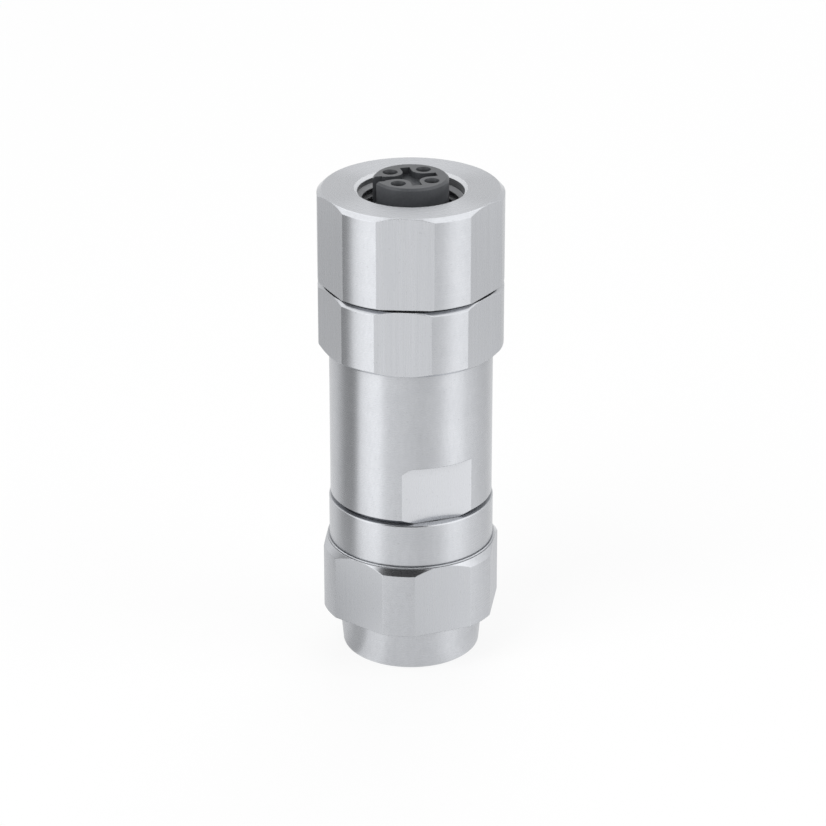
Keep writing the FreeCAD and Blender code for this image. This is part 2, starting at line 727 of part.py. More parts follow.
def make_lock_ring():
    """Threaded ring that clamps insert and carrier, with two slots for a pin key."""
    body = new_body("insert_lock_ring")
    inner = "insert_tail_radius + slip_clearance"
    outer = "insert_bore_radius - slip_clearance"
    add_turned(body, "lock_ring_turning", [
        (inner, "lock_ring_base"),
        (outer, "lock_ring_base"),
        (outer, "lock_ring_top"),
        (inner, "lock_ring_top"),
    ])
    sketch = new_sketch(body, "key_slot", "XY_Plane", "lock_ring_base")
    draw_outline(sketch, [
        ("0", "-lock_ring_slot_width / 2"),
        ("insert_bore_radius + wall_relief", "-lock_ring_slot_width / 2"),
        ("insert_bore_radius + wall_relief", "lock_ring_slot_width / 2"),
        ("0", "lock_ring_slot_width / 2"),
    ])
    slot = add_pocket(body, sketch, "lock_ring_slot_depth", outward=True)
    add_pattern(body, [slot], 2)
    return body


def contact_angle(number):
    """Formula of one contact's direction, in degrees."""
    return f"insert_azimuth + {number * 360 // CONTACT_COUNT}"


def make_contact(number):
    """Turned socket contact: slit spring socket in front, wire clamp behind."""
    angle = contact_angle(number)
    body = new_body(f"contact_{number + 1}", angle)
    centre = "contact_circle_radius"
    body.setExpression("Placement.Base.x", bound(f"{centre} * cos(({angle}) * 1 deg)"))
    body.setExpression("Placement.Base.y", bound(f"{centre} * sin(({angle}) * 1 deg)"))
    flange_top = "contact_stop - joint_gap"
    flange_base = f"{flange_top} - contact_flange_height"
    add_turned(body, f"contact_turning_{number + 1}", [
        ("0", "contact_base + wire_hole_depth"),
        ("wire_hole_radius", "contact_base + wire_hole_depth"),
        ("wire_hole_radius", "contact_base"),
        ("wire_clamp_radius", "contact_base"),
        ("wire_clamp_radius", "wire_clamp_top"),
        ("contact_shank_radius", "wire_clamp_top"),
        ("contact_shank_radius", flange_base),
        ("contact_flange_radius", flange_base),
        ("contact_flange_radius", flange_top),
        ("contact_socket_radius", flange_top),
        ("contact_socket_radius", "contact_top"),
        ("contact_bore_radius", "contact_top"),
        ("contact_bore_radius", "contact_top - contact_bore_depth"),
        ("0", "contact_top - contact_bore_depth"),
    ])
    slit = new_sketch(body, f"socket_slit_{number + 1}", "XY_Plane", "contact_top")
    reach = "(contact_socket_radius + wall_relief)"
    draw_outline(slit, [
        (f"-{reach}", "-contact_slit_width / 2"), (reach, "-contact_slit_width / 2"),
        (reach, "contact_slit_width / 2"), (f"-{reach}", "contact_slit_width / 2"),
    ])
    cut = add_pocket(body, slit, "contact_slit_depth", outward=False)
    add_pattern(body, [cut], 2, angle=90)
    screw_hole = new_sketch(body, f"screw_hole_{number + 1}", "YZ_Plane")
    draw_circle(screw_hole, "screw_core_radius + running_clearance", "0", "screw_height")
    add_pocket(body, screw_hole, "wire_clamp_radius + wall_relief", outward=True)
    return body


def make_terminal_block():
    """Moulded block round the wire clamps, with a screw opening beside each."""
    body = new_body("terminal_block", "insert_azimuth")
    recess_radius = "insert_tail_radius + slip_clearance"
    add_turned(body, "block_turning", [
        ("0", "block_base"),
        ("block_radius", "block_base"),
        ("block_radius", "block_top"),
        (recess_radius, "block_top"),
        (recess_radius, "block_recess_floor"),
        ("0", "block_recess_floor"),
    ])
    centre = "contact_circle_radius"
    clamp_room = "wire_clamp_radius + running_clearance"
    chamber = add_round_hole(body, "clamp_chamber", clamp_room, centre, "block_base",
                             "clamp_chamber_top - block_base", outward=True)
    shank = add_round_hole(body, "shank_drilling", "shank_hole", centre, "clamp_chamber_top",
                           "block_top - clamp_chamber_top", outward=True)
    core_hole = new_sketch(body, "core_hole", "YZ_Plane", centre)
    draw_circle(core_hole, "screw_core_radius + slip_clearance", "0", "screw_height")
    core = add_pocket(body, core_hole, f"block_radius - {centre}", outward=True)
    head_hole = new_sketch(body, "head_hole", "YZ_Plane", "screw_head_start - joint_gap")
    draw_circle(head_hole, "screw_head_radius + slip_clearance", "0", "screw_height")
    head = add_pocket(body, head_hole, "block_radius", outward=True)
    add_pattern(body, [chamber, shank, core, head], CONTACT_COUNT)
    return body


def make_terminal_screw(number):
    """Slotted screw that lies across a wire clamp, its axis along the body's X."""
    body = new_body(f"terminal_screw_{number + 1}", contact_angle(number))
    body.setExpression("Placement.Base.z", bound("screw_height"))
    tip = "contact_circle_radius + screw_tip_offset"
    end = "screw_head_start + screw_head_length"
    sketch = new_sketch(body, f"screw_outline_{number + 1}", "XZ_Plane")
    draw_outline(sketch, [
        (tip, "0"),
        (tip, "screw_core_radius"),
        ("screw_head_start", "screw_core_radius"),
        ("screw_head_start", "screw_head_radius"),
        (end, "screw_head_radius"),
        (end, "0"),
    ])
    screw = body.newObject("PartDesign::Revolution", f"screw_turning_{number + 1}")
    screw.Profile = sketch
    screw.ReferenceAxis = (sketch, ["H_Axis"])
    screw.Angle = 360
    slot = new_sketch(body, f"screw_slot_{number + 1}", "YZ_Plane", end)
    reach = "(screw_head_radius + wall_relief)"
    draw_outline(slot, [
        (f"-{reach}", "-screw_slot_width / 2"), (reach, "-screw_slot_width / 2"),
        (reach, "screw_slot_width / 2"), (f"-{reach}", "screw_slot_width / 2"),
    ])
    add_pocket(body, slot, "screw_slot_depth", outward=False)
    return body


def make_face_seal():
    """Flat seal on the spigot's end, between the insert and the mating plug."""
    body = new_body("insert_face_seal")
    add_turned(body, "face_seal_turning", [
        ("spigot_opening", "face_seal_base"),
        ("face_seal_radius", "face_seal_base"),
        ("face_seal_radius", "face_seal_top"),
        ("spigot_opening", "face_seal_top"),
    ])
    return body


def make_o_ring(label, groove_radius, level):
    """Round rubber ring lying on the floor of its groove."""
    ring = document.addObject("Part::Torus", label)
    ring.Label = label
    ring.setExpression("Radius1", bound(f"{groove_radius} + o_ring_section_radius + joint_gap"))
    ring.setExpression("Radius2", bound("o_ring_section_radius"))
    ring.setExpression("Placement.Base.z", bound(level))
    return ring


def make_parts():
    """Every piece of the connector, from the cable end to the front."""
    groove_drop = "(o_ring_groove_inset + o_ring_groove_height / 2)"
    parts = [
        make_cap_nut(),
        make_clamping_ring(),
        make_thrust_washer(),
        make_cable_seal(),
        make_sleeve(),
        make_o_ring("sleeve_o_ring", "tail_groove_radius", f"sleeve_base - {groove_drop}"),
        make_terminal_block(),
        make_collar(),
        make_o_ring("collar_o_ring", "tail_groove_radius", f"collar_base - {groove_drop}"),
        make_insert(),
        make_carrier(),
        make_o_ring("insert_o_ring", "carrier_groove_radius", "carrier_groove_level"),
        make_lock_ring(),
        make_face_seal(),
        make_retaining_ring(),
        make_coupling_nut(),
    ]
    for number in range(CONTACT_COUNT):
        parts.append(make_contact(number))
        parts.append(make_terminal_screw(number))
    return parts


def check_document(parts):
    """Stop if an object failed to compute or a piece is not a sound solid."""
    for item in document.Objects:
        if "Invalid" in item.State or "Error" in item.State:
            raise RuntimeError(f"{item.Label} is in state {item.State}")
    for part in parts:
        if part.Shape.isNull() or not part.Shape.isValid() or not part.Shape.Solids:
            raise RuntimeError(f"{part.Label} is not a valid solid")


parts = make_parts()
document.recompute()
check_document(parts)
os.makedirs("parts", exist_ok=True)
for part in parts:
    part.Shape.exportStep(f"parts/{part.Label}.step")
    box = part.Shape.BoundBox
    print(f"{part.Label:22s} solids {len(part.Shape.Solids)} volume {part.Shape.Volume:9.3f}"
          f" z {box.ZMin:7.3f} to {box.ZMax:7.3f}")
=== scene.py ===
"""Looks of a circular cable connector: brushed steel shells, a black contact insert and the threads between them."""

import math

import bpy
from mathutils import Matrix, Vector


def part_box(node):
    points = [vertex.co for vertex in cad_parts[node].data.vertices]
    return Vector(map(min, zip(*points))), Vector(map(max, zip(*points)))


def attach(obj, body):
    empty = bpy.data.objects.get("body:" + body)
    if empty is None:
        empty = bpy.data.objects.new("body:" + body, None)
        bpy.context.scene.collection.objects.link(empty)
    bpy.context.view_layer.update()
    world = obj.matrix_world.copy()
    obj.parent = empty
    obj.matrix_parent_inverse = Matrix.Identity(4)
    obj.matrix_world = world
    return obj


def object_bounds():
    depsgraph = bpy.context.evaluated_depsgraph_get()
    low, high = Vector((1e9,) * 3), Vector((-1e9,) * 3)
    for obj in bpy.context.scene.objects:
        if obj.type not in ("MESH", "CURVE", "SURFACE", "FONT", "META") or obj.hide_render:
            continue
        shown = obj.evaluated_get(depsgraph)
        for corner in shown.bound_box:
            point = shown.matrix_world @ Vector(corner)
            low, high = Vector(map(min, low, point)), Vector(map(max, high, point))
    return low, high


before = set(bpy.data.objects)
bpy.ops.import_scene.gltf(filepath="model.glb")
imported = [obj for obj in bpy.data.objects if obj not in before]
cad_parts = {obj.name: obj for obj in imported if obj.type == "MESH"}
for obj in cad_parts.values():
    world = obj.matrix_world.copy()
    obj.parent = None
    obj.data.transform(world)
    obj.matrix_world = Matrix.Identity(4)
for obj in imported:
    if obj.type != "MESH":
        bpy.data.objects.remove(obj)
cad_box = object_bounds()

MM = 0.001
TURN = 2 * math.pi


def rise_of(degrees):
    """How far a direction at this angle above the floor rises."""
    return math.sin(math.radians(degrees))


# Camera, at the photograph's viewing angle
CAMERA_PLACE = (0.23 * MM, -347.76 * MM, 183.33 * MM)
CAMERA_TILT = math.radians(66.05)
CAMERA_LENS = 144.98
CAMERA_SENSOR = 36

# Studio, as the metal mirrors it: brightness by the angle round the part, 0 towards the camera and positive to +X
STUDIO = {
    -180: 0.92,
    -150: 0.88,
    -130: 0.86,
    -116: 0.61,
    -106: 0.35,
    -88: 0.29,
    -82: 0.60,
    -75: 1.34,
    -62: 1.52,
    -46: 1.52,
    -38: 1.12,
    -31: 0.94,
    -14: 0.85,
    0: 0.78,
    14: 0.72,
    28: 0.78,
    40: 0.91,
    50: 1.22,
    60: 1.46,
    74: 1.45,
    84: 1.21,
    98: 1.07,
    112: 0.92,
    130: 0.80,
    150: 0.86,
    180: 0.92,
}
# The same for the air above the floor, and high above the part
HORIZON = {**STUDIO, -180: 0.78, -150: 0.78, 150: 0.78, 180: 0.78}
OVERHEAD = {
    -180: 2.00,
    -150: 1.80,
    -110: 1.20,
    -85: 1.38,
    -62: 1.38,
    -48: 0.04,
    28: 0.04,
    44: 1.38,
    85: 1.38,
    110: 1.20,
    150: 1.80,
    180: 2.00,
}
BRIGHTEST = 2.0
OVERHEAD_RISE = (rise_of(30), rise_of(42))
CEILING_RISE = (rise_of(44), rise_of(54))
CEILING_LEVEL = 1.30
ZENITH_RISE = (rise_of(73), rise_of(80))
ZENITH_LEVEL = 1.25
DIFFUSE_SKY = 0.5

# Floor, and what the metal mirrors of it
FLOOR_SIZE = 6.0
FLOOR_WHITE = (0.92, 0.92, 0.92, 1)
FLOOR_GLOW = 0.85
FLOOR_SWING = -0.20
FLOOR_STRETCH, FLOOR_STRETCH_NEAR = 1.05, 1.42
FLOOR_STRETCH_REACH = (14 * MM, 42 * MM)
FLOOR_NEAR_REACH = (28 * MM, 46 * MM)
FLOOR_NEAR_LEVEL, FLOOR_NEAR_SLOPE, FLOOR_NEAR_SHARE = 0.76, 0.09, 0.40
FLOOR_DIP = 0.24
FLOOR_DIP_START, FLOOR_DIP_END = (80 * MM, 95 * MM), (145 * MM, 175 * MM)

# Soft boxes: place and power
LAMP_WIDTH = 0.45
LAMPS = {
    "key_light": ((-0.35, -0.35, 0.60), 2.6),
    "fill_light": ((0.50, -0.20, 0.45), 1.2),
    "back_light": ((0.10, 0.50, 0.50), 1.2),
}

# Sizes that the looks share with the frame
NUT_HALF_FLATS = 10.0 * MM
CAP_HALF_FLATS = 9.7 * MM
SLEEVE_FLAT_DEPTH = 8.3 * MM
NUT_MOUTH = 6.35 * MM
NUT_THREAD_WALL = 6.0 * MM
BODY_THREAD_BORE = 8.0 * MM
BODY_THREAD_CORE = 7.45 * MM

# Threads, with how far above a face each starts and ends
PITCH = 1.0 * MM
THREAD_DEPTH = 0.5 * MM
NUT_THREAD_DEPTH = 0.54 * MM
NUT_THREAD_SPAN = (-6.16 * MM, NUT_THREAD_WALL - NUT_MOUTH)
COLLAR_THREAD_SPAN = (0.4 * MM, 4.2 * MM)
SOCKET_THREAD_SPAN = (-0.1 * MM, 4.6 * MM)
TAIL_THREAD_SPAN = (0.5 * MM, 7.4 * MM)
CAP_THREAD_SPAN = (-0.6 * MM, -0.5 * MM)
HALF_ROOT, HALF_CREST = 0.4375 * PITCH, 0.0625 * PITCH
STEPS_PER_TURN = 72
FADE_STEPS = STEPS_PER_TURN / 4
ROOT_SUNK = 0.04 * MM

# Noise: the range that its values mostly fill
NOISE_RANGE = (0.3, 0.7)

# Steel: colours
STEEL_LIGHT, STEEL_DARK = (0.708, 0.722, 0.752, 1), (0.548, 0.562, 0.590, 1)
# Colours of the nut's inner thread: a darker copy of the steel, painted shade for its place deep in the bore
SHADED_THREAD_LIGHT, SHADED_THREAD_DARK = (0.36, 0.368, 0.38, 1), (0.28, 0.285, 0.295, 1)
# Painted sheen on the flats, lighter than the steel
FLAT_SHEEN = (0.770, 0.785, 0.818, 1)
# Painted shade on the cap's flats, darker than the steel
CAP_FLAT_SHADE = (0.615, 0.629, 0.657, 1)
# Painted shade for the bores and the level faces, and also the grey of the scattered specks
BORE_SHADE = (0.30, 0.305, 0.315, 1)
# A deeper painted shade for the nut's bore and its thread
THREAD_SHADE = (0.21, 0.214, 0.222, 1)
# Painted highlight on the lead-in ring of the nut's mouth
MOUTH_SHEEN = (0.66, 0.67, 0.69, 1)
# Painted shade in crevices
CREVICE_SHADE = (0.16, 0.163, 0.17, 1)

# Steel: how its faces are told apart, by place and by how far their normals rise
FLAT_TOLERANCE = 0.08 * MM
UPRIGHT_TILT, LEVEL_TILT = 0.1, 0.9
SLANT_TILT, SLANT_TOLERANCE = 0.65, 0.2
BORE_FACING = (-0.95, -0.80)
LEAST_RADIUS = 1 * MM
MOUTH_RADIUS = 6.02 * MM

# Steel: the marks of the tool, as noise scales and shares
STREAK = 0.012
RING_RATE = 1.7
FINE_LINES, COARSE_LINES, COARSE_SHARE = 10000, 2600, 0.4
GRAIN, GRAIN_STRETCH, CLOUDS = 2400, 0.4, 300
SPECKS, SPECK_RANGE, SPECK_SHARE = 5200, (0.66, 0.72), 0.25
TURNED_LINES, FLAT_LINES, LEVEL_LINES = 0.14, 0.6, 0.06
# Level faces: calmer marks, and the share of a painted shade on them
LEVEL_CALM, LEVEL_SHADE = 0.5, 0.12
# The nut's mouth: the share of its painted highlight, and how far its normal leans up
MOUTH_SHARE, MOUTH_LIFT = 0.9, 0.6

# Steel: gloss and relief
SMOOTHEST, ROUGHEST, CHAMFER_ROUGHNESS, LEAD_IN_ROUGHNESS = 0.255, 0.285, 0.2, 0.5
SMEAR, CHAMFER_SMEAR = 0.88, 0.5
RELIEF, LEVEL_RELIEF = 0.04, 0.015
RELIEF_DEPTH = 0.02 * MM
STEEL_EDGE = 0.12 * MM
# Painted shade in crevices: its occlusion reach and range, and the heights above the floor over which it fades in
STEEL_CREVICE = (1.4 * MM, 0.35, 0.9)
CREVICE_RISE, CREVICE_SHARE = (1.5 * MM, 4 * MM), 0.35

# Plate: colours, rings and clouds
NICKEL_DARK, NICKEL_LIGHT = (0.50, 0.48, 0.44, 1), (0.66, 0.64, 0.60, 1)
GOLD_DARK, GOLD_LIGHT = (0.76, 0.50, 0.17, 1), (0.90, 0.64, 0.27, 1)
PLATE_STREAK, PLATE_CLOUDS = 0.05, 700

# Plastic and rubber
BLACK_DARK, BLACK_LIGHT = (0.054, 0.057, 0.062, 1), (0.072, 0.076, 0.083, 1)
NATURAL_DARK, NATURAL_LIGHT = (0.62, 0.60, 0.54, 1), (0.70, 0.68, 0.62, 1)
RUBBER_DARK, RUBBER_LIGHT = (0.018, 0.018, 0.018, 1), (0.030, 0.030, 0.030, 1)
MOULD_CLOUDS, MOULD_RANGE = 420, (0.35, 0.65)
# Painted shade in the moulded parts' corners: occlusion reach, range and share
MOULD_CREVICE, MOULD_CREVICE_SHARE = (1.5 * MM, 0.2, 0.85), 0.5
MOULD_EDGE = 0.10 * MM
# How dark the painted shade is, and the gloss in the open and in that shade
PAINTED_SHADE_TONE = 0.25
SPECULAR, SHADED_SPECULAR = 0.5, 0.08
ROUGHNESS_SWING = 0.05

# Insert: its sunk parts, which get painted shade
INSERT_RIM = (3.8 * MM, 4.1 * MM)
SUNK_DEPTH, SUNK_SHARE = (0.6 * MM, 0.1 * MM), 0.12
HOLE_RADIUS = (0.66 * MM, 0.80 * MM)
HOLE_DEPTH = 2 * MM


class Graph:
    """A shader's node tree, written as formulas: each call adds a node and gives its output."""

    def __init__(self, tree):
        self.tree = tree
        tree.nodes.clear()

    def node(self, kind, inputs=(), **settings):
        made = self.tree.nodes.new(kind)
        for name, value in settings.items():
            setattr(made, name, value)
        for key, value in dict(inputs).items():
            self.feed(made.inputs[key], value)
        return made

    def feed(self, socket, value):
        if isinstance(value, bpy.types.NodeSocket):
            self.tree.links.new(value, socket)
        else:
            socket.default_value = value

    def math(self, operation, *values):
        return self.node("ShaderNodeMath", enumerate(values), operation=operation).outputs[0]

    def product(self, first, *others):
        for other in others:
            first = self.math("MULTIPLY", first, other)
        return first

    def vector(self, operation, *values, output="Vector"):
        made = self.node("ShaderNodeVectorMath", enumerate(values), operation=operation)
        return made.outputs[output]

    def length(self, vector):
        return self.vector("LENGTH", vector, output="Value")

    def join(self, x, y, z):
        return self.node("ShaderNodeCombineXYZ", {"X": x, "Y": y, "Z": z}).outputs[0]

    def split(self, vector):
        return self.node("ShaderNodeSeparateXYZ", {0: vector}).outputs

    def mix(self, share, first, second):
        """A number between two numbers."""
        made = self.node("ShaderNodeMix", {0: share, 2: first, 3: second}, data_type="FLOAT")
        return made.outputs[0]

    def mix_vector(self, share, first, second):
        made = self.node("ShaderNodeMix", {0: share, 4: first, 5: second}, data_type="VECTOR")
        return made.outputs[1]

    def mix_colour(self, share, first, second):
        made = self.node("ShaderNodeMix", {0: share, 6: first, 7: second}, data_type="RGBA")
        return made.outputs[2]

    def spread(self, value, low, high, to_low, to_high):
        """The value's range low to high, stretched to another range and held there."""
        sockets = {0: value, 1: low, 2: high, 3: to_low, 4: to_high}
        return self.node("ShaderNodeMapRange", sockets, clamp=True).outputs[0]

    def noise(self, place, scale, detail=2.0):
        sockets = {"Vector": place, "Scale": scale, "Detail": detail, "Roughness": 0.5}
        return self.node("ShaderNodeTexNoise", sockets).outputs[0]

    def light_path(self, *kinds):
        """1 for a ray of any of these kinds."""
        path = self.node("ShaderNodeLightPath")
        total = 0.0
        for kind in kinds:
            total = self.math("MAXIMUM", total, path.outputs[kind])
        return total

    def to_world(self, direction):
        """The object's direction, in the world's axes."""
        return self.node("ShaderNodeVectorTransform", {0: direction}, vector_type="VECTOR",
                         convert_from="OBJECT", convert_to="WORLD").outputs[0]

    def crevice(self, reach, least, most):
        """1 deep in a corner or a hole, 0 in the open."""
        open_share = self.node("ShaderNodeAmbientOcclusion", {"Distance": reach}, samples=6).outputs["AO"]
        return self.spread(open_share, least, most, 1, 0)

    def rounded(self, radius):
        """The normal, with its sharp edges rounded."""
        return self.node("ShaderNodeBevel", {"Radius": radius}, samples=4).outputs[0]

    def relief(self, strength, height, **normal):
        """The normal over small marks of this height."""
        sockets = {"Strength": strength, "Distance": RELIEF_DEPTH, "Height": height, **normal}
        return self.node("ShaderNodeBump", sockets).outputs[0]


def studio_level(graph, direction, levels, stretch=1.0, swing=0.0):
    """Brightness of the studio in a direction, by its angle round the upright axis, raised at the sides by swing."""
    x, y, _ = graph.split(direction)
    angle = graph.math("ARCTAN2", x, graph.product(y, -1))
    share = graph.math("ADD", graph.product(angle, stretch, 1 / TURN), 0.5)
    ramp = graph.node("ShaderNodeValToRGB", {0: share})
    elements = ramp.color_ramp.elements
    while len(elements) < len(levels):
        elements.new(0.5)
    for element, (degrees, level) in zip(elements, levels.items()):
        element.position = degrees / 360 + 0.5
        element.color = (level / BRIGHTEST,) * 3 + (1,)
    sideways = graph.math("POWER", graph.math("ABSOLUTE", graph.math("SINE", angle)), 2)
    gain = graph.math("ADD", graph.product(sideways, swing), 1.0)
    return graph.product(ramp.outputs[0], BRIGHTEST, gain)


def make_world():
    """White behind the part, soft bands for what the metal mirrors, and an even sky for the rest."""
    world = bpy.data.worlds.new("studio")
    bpy.context.scene.world = world
    world.use_nodes = True
    graph = Graph(world.node_tree)
    direction = graph.node("ShaderNodeTexCoord").outputs["Generated"]
    rise = graph.split(direction)[2]
    horizon = studio_level(graph, direction, HORIZON)
    ceiling = graph.spread(rise, *CEILING_RISE, BRIGHTEST, CEILING_LEVEL)
    overhead = graph.math("MINIMUM", studio_level(graph, direction, OVERHEAD), ceiling)
    mirrored = graph.mix(graph.spread(rise, *OVERHEAD_RISE, 0, 1), horizon, overhead)
    mirrored = graph.mix(graph.spread(rise, *ZENITH_RISE, 0, 1), mirrored, ZENITH_LEVEL)
    level = graph.mix(graph.light_path("Is Glossy Ray"), DIFFUSE_SKY, mirrored)
    level = graph.mix(graph.light_path("Is Camera Ray", "Is Transmission Ray"), level, 1.0)
    sky = graph.node("ShaderNodeBackground", {"Color": (1, 1, 1, 1), "Strength": level})
    graph.node("ShaderNodeOutputWorld", {"Surface": sky.outputs[0]})


def floor_mirrored(graph, place):
    """Brightness of the floor as the metal mirrors it: the studio's bands, calmer near the part, darker behind it."""
    reach = graph.length(place)
    stretch = graph.spread(reach, *FLOOR_STRETCH_REACH, FLOOR_STRETCH_NEAR, FLOOR_STRETCH)
    bands = studio_level(graph, place, STUDIO, stretch, FLOOR_SWING)
    sideways, backwards, _ = graph.split(graph.vector("NORMALIZE", place))
    dip = graph.product(graph.spread(reach, *FLOOR_DIP_START, 0, 1), graph.spread(reach, *FLOOR_DIP_END, 1, 0),
                        graph.spread(backwards, -1, 1, 0, FLOOR_DIP))
    bands = graph.product(bands, graph.math("SUBTRACT", 1.0, dip))
    near = graph.math("ADD", FLOOR_NEAR_LEVEL, graph.product(sideways, FLOOR_NEAR_SLOPE))
    return graph.mix(graph.spread(reach, *FLOOR_NEAR_REACH, FLOOR_NEAR_SHARE, 1), near, bands)


def make_floor():
    """A pale floor under the cap nut, which reads white, keeps the part's soft shadow and is clear from below."""
    bpy.ops.mesh.primitive_plane_add(size=FLOOR_SIZE)
    floor = bpy.context.object
    floor.name = "floor"
    material = bpy.data.materials.new("floor_white")
    material.use_nodes = True
    graph = Graph(material.node_tree)
    geometry = graph.node("ShaderNodeNewGeometry").outputs
    level = graph.mix(graph.light_path("Is Glossy Ray"), 1.0, floor_mirrored(graph, geometry["Position"]))
    matt = graph.node("ShaderNodeBsdfDiffuse", {"Color": FLOOR_WHITE}).outputs[0]
    glow = graph.node("ShaderNodeEmission", {"Color": (1, 1, 1, 1), "Strength": level}).outputs[0]
    seen = graph.light_path("Is Camera Ray", "Is Glossy Ray", "Is Transmission Ray")
    above = graph.node("ShaderNodeMixShader", {0: graph.product(seen, FLOOR_GLOW), 1: matt, 2: glow}).outputs[0]
    clear = graph.node("ShaderNodeBsdfTransparent").outputs[0]
    surface = graph.node("ShaderNodeMixShader", {0: geometry["Backfacing"], 1: above, 2: clear})
    graph.node("ShaderNodeOutputMaterial", {"Surface": surface.outputs[0]})
    floor.data.materials.append(material)
    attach(floor, "cap")


def make_lamp(name, place, power):
    """A soft box that faces the part, and that the metal doesn't mirror."""
    data = bpy.data.lights.new(name, "AREA")
    data.size = LAMP_WIDTH
    data.energy = power
    lamp = bpy.data.objects.new(name, data)
    lamp.location = place
    middle = (cad_box[0] + cad_box[1]) / 2
    lamp.rotation_euler = (middle - lamp.location).to_track_quat("-Z", "Y").to_euler()
    lamp.visible_glossy = False
    bpy.context.scene.collection.objects.link(lamp)


def make_camera():
    data = bpy.data.cameras.new("camera")
    data.lens = CAMERA_LENS
    data.sensor_width = CAMERA_SENSOR
    data.clip_start = 1 * MM
    camera = bpy.data.objects.new("camera", data)
    camera.location = CAMERA_PLACE
    camera.rotation_euler = (CAMERA_TILT, 0, 0)
    bpy.context.scene.collection.objects.link(camera)
    bpy.context.scene.camera = camera


def new_material(name):
    """A material with an empty tree: its graph, and its shader joined to the output."""
    material = bpy.data.materials.new(name)
    material.use_nodes = True
    graph = Graph(material.node_tree)
    shader = graph.node("ShaderNodeBsdfPrincipled")
    graph.node("ShaderNodeOutputMaterial", {"Surface": shader.outputs[0]})
    return material, graph, shader.inputs


def steel_masks(graph, radial, radius, facing, flat_distance):
    """Masks that are 1 on their own faces: flats, level faces, bores, lead-ins, the nut's mouth, outer chamfers."""
    rise = graph.split(facing)[2]
    tilt = graph.math("ABSOLUTE", rise)
    reach = graph.vector("DOT_PRODUCT", radial, facing, output="Value")
    on_plane = graph.math("COMPARE", reach, flat_distance, FLAT_TOLERANCE)
    flat = graph.product(on_plane, graph.math("LESS_THAN", tilt, UPRIGHT_TILT))
    level = graph.math("GREATER_THAN", tilt, LEVEL_TILT)
    inward = graph.math("DIVIDE", reach, graph.math("MAXIMUM", radius, LEAST_RADIUS))
    bore = graph.spread(inward, *BORE_FACING, 1, 0)
    slant = graph.math("COMPARE", tilt, SLANT_TILT, SLANT_TOLERANCE)
    lead_in = graph.product(slant, graph.math("LESS_THAN", inward, 0.0))
    mouth = graph.product(lead_in, graph.math("GREATER_THAN", rise, 0.0),
                          graph.math("GREATER_THAN", radius, MOUTH_RADIUS))
    return flat, level, bore, lead_in, mouth, graph.math("SUBTRACT", slant, lead_in)


def steel_marks(graph, place, radius, flat):
    """Fine lines along the tool's path, a soft grain and scattered specks."""
    x, y, z = graph.split(place)
    height = graph.math("ADD", z, graph.product(radius, RING_RATE))
    turned = graph.vector("MULTIPLY", graph.join(x, y, height), (STREAK, STREAK, 1))
    brushed = graph.vector("MULTIPLY", place, (1, 1, STREAK))
    path = graph.mix_vector(flat, turned, brushed)
    lines = graph.mix(COARSE_SHARE, graph.noise(path, FINE_LINES, 3), graph.noise(path, COARSE_LINES))
    grain = graph.noise(graph.vector("MULTIPLY", place, (1, 1, GRAIN_STRETCH)), GRAIN)
    soft = graph.mix(0.5, grain, graph.noise(place, CLOUDS, 3))
    specks = graph.spread(graph.noise(place, SPECKS), *SPECK_RANGE, 0, 1)
    return graph.spread(lines, *NOISE_RANGE, 0, 1), soft, specks


